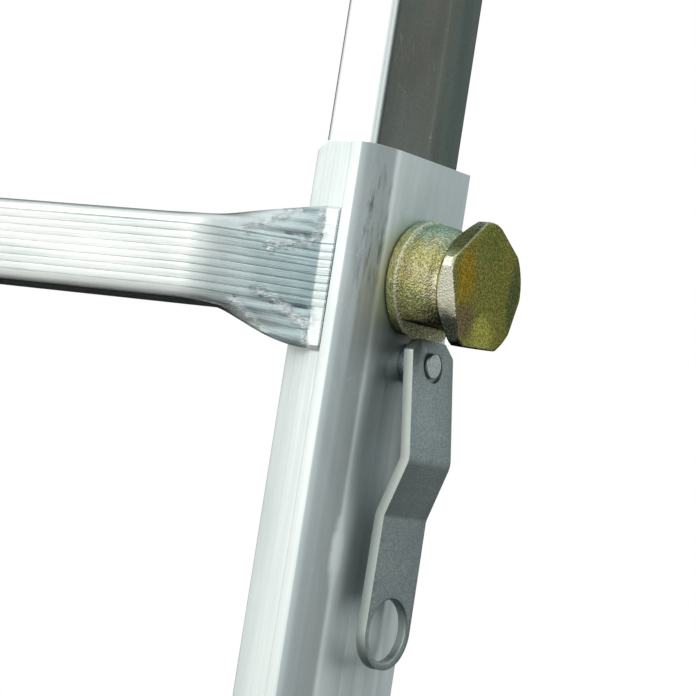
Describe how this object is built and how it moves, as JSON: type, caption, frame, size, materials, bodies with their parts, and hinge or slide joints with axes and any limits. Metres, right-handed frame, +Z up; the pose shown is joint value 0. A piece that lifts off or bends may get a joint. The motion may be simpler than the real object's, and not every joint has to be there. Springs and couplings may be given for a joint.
{
  "type": "extension ladder",
  "caption": "Two-section aluminium extension ladder with box inner stiles sliding in C-section outer stiles, spring pull-knob locks and swinging catch levers.",
  "frame": {"origin": "on the floor, at the middle of the ladder's box, between the two shoes", "axes": "+X along the rungs to the right-hand stile, -Y the climber's side with the outer rungs, +Z up"},
  "size_m": [0.487, 0.0952, 1.4375],
  "materials": {
    "stile_aluminium": "drawn satin",
    "rung_aluminium": "bright drawn, fine lengthwise grooves",
    "inner_aluminium": "bright drawn, lightly scratched",
    "inner_rung_aluminium": "bright drawn",
    "rivet_aluminium": "plain",
    "yellow_chromate": "cast steel, yellow chromated",
    "lever_zinc": "matt zinc plated",
    "zinc_steel": "zinc plated",
    "spring_steel": "bright wire",
    "black_rubber": "moulded",
    "black_plastic": "moulded"
  },
  "bodies": {
    "outer_section": {"left_outer_stile": "stile_aluminium", "left_shoe": "black_rubber", "left_lock_barrel": "zinc_steel", "left_barrel_plug": "zinc_steel", "left_lock_spring": "spring_steel", "left_lever_post": "zinc_steel", "right_outer_stile": "stile_aluminium", "right_shoe": "black_rubber", "right_lock_barrel": "zinc_steel", "right_barrel_plug": "zinc_steel", "right_lock_spring": "spring_steel", "right_lever_post": "zinc_steel", "outer_rung_1": "rung_aluminium", "outer_rung_2": "rung_aluminium", "outer_rung_3": "rung_aluminium", "outer_rung_4": "rung_aluminium", "shoe_rivets": "rivet_aluminium", "barrel_rivets": "zinc_steel"},
    "inner_section": {"left_inner_stile": "inner_aluminium", "left_top_cap": "black_plastic", "left_bottom_plug": "black_plastic", "right_inner_stile": "inner_aluminium", "right_top_cap": "black_plastic", "right_bottom_plug": "black_plastic", "inner_rung_1": "inner_rung_aluminium", "inner_rung_2": "inner_rung_aluminium", "inner_rung_3": "inner_rung_aluminium", "inner_rung_4": "inner_rung_aluminium", "inner_rung_5": "inner_rung_aluminium"},
    "left_bolt": {"left_lock_bolt": "zinc_steel"},
    "left_knob": {"left_lock_knob": "yellow_chromate"},
    "left_lever": {"left_catch_lever": "lever_zinc"},
    "right_bolt": {"right_lock_bolt": "zinc_steel"},
    "right_knob": {"right_lock_knob": "yellow_chromate"},
    "right_lever": {"right_catch_lever": "lever_zinc"}
  },
  "joints": [
    {"name": "extension", "type": "slide", "parent": "outer_section", "child": "inner_section", "axis": [0, 0, 1], "range_m": [0, 0.56]},
    {"name": "left_knob_pull", "type": "slide", "parent": "outer_section", "child": "left_knob", "axis": [-1, 0, 0], "range_m": [0, 0.0145], "stiffness_N_per_m": 600},
    {"name": "left_bolt_shoot", "type": "slide", "parent": "outer_section", "child": "left_bolt", "axis": [1, 0, 0], "range_m": [0, 0.009], "deforming": ["left_lock_spring"]},
    {"name": "left_lever_swing", "type": "hinge", "parent": "outer_section", "child": "left_lever", "pos_m": [-0.215, 0.0214, 1.0651], "axis": [-1, 0, 0], "range_deg": [-90, 90]},
    {"name": "right_knob_pull", "type": "slide", "parent": "outer_section", "child": "right_knob", "axis": [1, 0, 0], "range_m": [0, 0.0145], "stiffness_N_per_m": 600},
    {"name": "right_bolt_shoot", "type": "slide", "parent": "outer_section", "child": "right_bolt", "axis": [-1, 0, 0], "range_m": [0, 0.009], "deforming": ["right_lock_spring"]},
    {"name": "right_lever_swing", "type": "hinge", "parent": "outer_section", "child": "right_lever", "pos_m": [0.215, 0.0214, 1.0651], "axis": [1, 0, 0], "range_deg": [-90, 90]}
  ]
}
